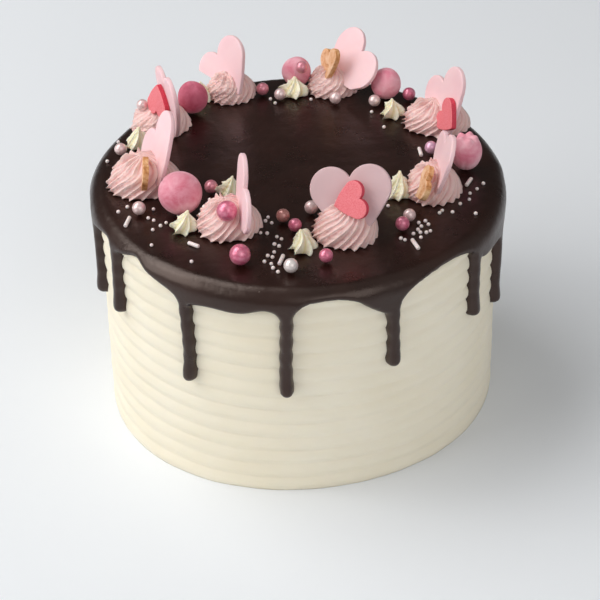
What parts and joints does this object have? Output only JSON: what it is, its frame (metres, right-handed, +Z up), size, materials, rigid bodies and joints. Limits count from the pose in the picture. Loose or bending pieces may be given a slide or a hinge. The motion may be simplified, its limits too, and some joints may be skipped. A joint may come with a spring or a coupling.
{
  "type": "layer cake",
  "caption": "Tall round layer cake with combed cream sides, a dark ganache drip and a ring of piped swirls, heart plates, pink balls, pearls and sprinkles.",
  "frame": {"origin": "centre of the cake's flat base, on the surface that it stands on", "axes": "+Z up through the cake; -Y is the side that the picture shows in front, +X is its right"},
  "size_m": [0.203, 0.2046, 0.1578],
  "materials": {
    "cream": "soft satin cream, combed",
    "ganache": "dark satin ganache",
    "pink_cream": "soft satin piped cream",
    "fondant": "smooth matte sugar paste",
    "coral_sugar": "fine sugar grain",
    "gold_sugar": "rough, mottled",
    "pink_ball": "dusty matte",
    "ivory_cream": "soft satin piped cream",
    "pearl_hot": "pearl gloss",
    "pearl_rose": "pearl gloss",
    "pearl_pale": "pearl gloss",
    "pearl_dusty": "pearl gloss",
    "pearl_white": "pearl gloss",
    "pearl_lilac": "pearl gloss"
  },
  "bodies": {
    "root": {"cake_body": "cream", "coral_heart_2": "coral_sugar", "coral_heart_4": "coral_sugar", "coral_heart_7": "coral_sugar", "fondant_heart_1": "fondant", "fondant_heart_2": "fondant", "fondant_heart_3": "fondant", "fondant_heart_4": "fondant", "fondant_heart_5": "fondant", "fondant_heart_6": "fondant", "fondant_heart_7": "fondant", "fondant_heart_8": "fondant", "ganache": "ganache", "gold_heart_3": "gold_sugar", "gold_heart_5": "gold_sugar", "gold_heart_8": "gold_sugar", "pearl_1": "pearl_hot", "pearl_10": "pearl_pale", "pearl_11": "pearl_hot", "pearl_12": "pearl_pale", "pearl_13": "pearl_pale", "pearl_14": "pearl_pale", "pearl_15": "pearl_rose", "pearl_16": "pearl_pale", "pearl_17": "pearl_pale", "pearl_18": "pearl_lilac", "pearl_19": "pearl_rose", "pearl_2": "pearl_hot", "pearl_20": "pearl_hot", "pearl_3": "pearl_pale", "pearl_4": "pearl_rose", "pearl_5": "pearl_dusty", "pearl_6": "pearl_hot", "pearl_7": "pearl_pale", "pearl_8": "pearl_white", "pearl_9": "pearl_hot", "pink_ball_1": "pink_ball", "pink_ball_2": "pink_ball", "pink_ball_3": "pink_ball", "pink_ball_4": "pink_ball", "pink_ball_5": "pink_ball", "star_1": "ivory_cream", "star_2": "ivory_cream", "star_3": "ivory_cream", "star_4": "ivory_cream", "star_5": "ivory_cream", "star_6": "ivory_cream", "star_7": "ivory_cream", "star_8": "ivory_cream", "swirl_1": "pink_cream", "swirl_2": "pink_cream", "swirl_3": "pink_cream", "swirl_4": "pink_cream", "swirl_5": "pink_cream", "swirl_6": "pink_cream", "swirl_7": "pink_cream", "swirl_8": "pink_cream"}
  },
  "joints": []
}
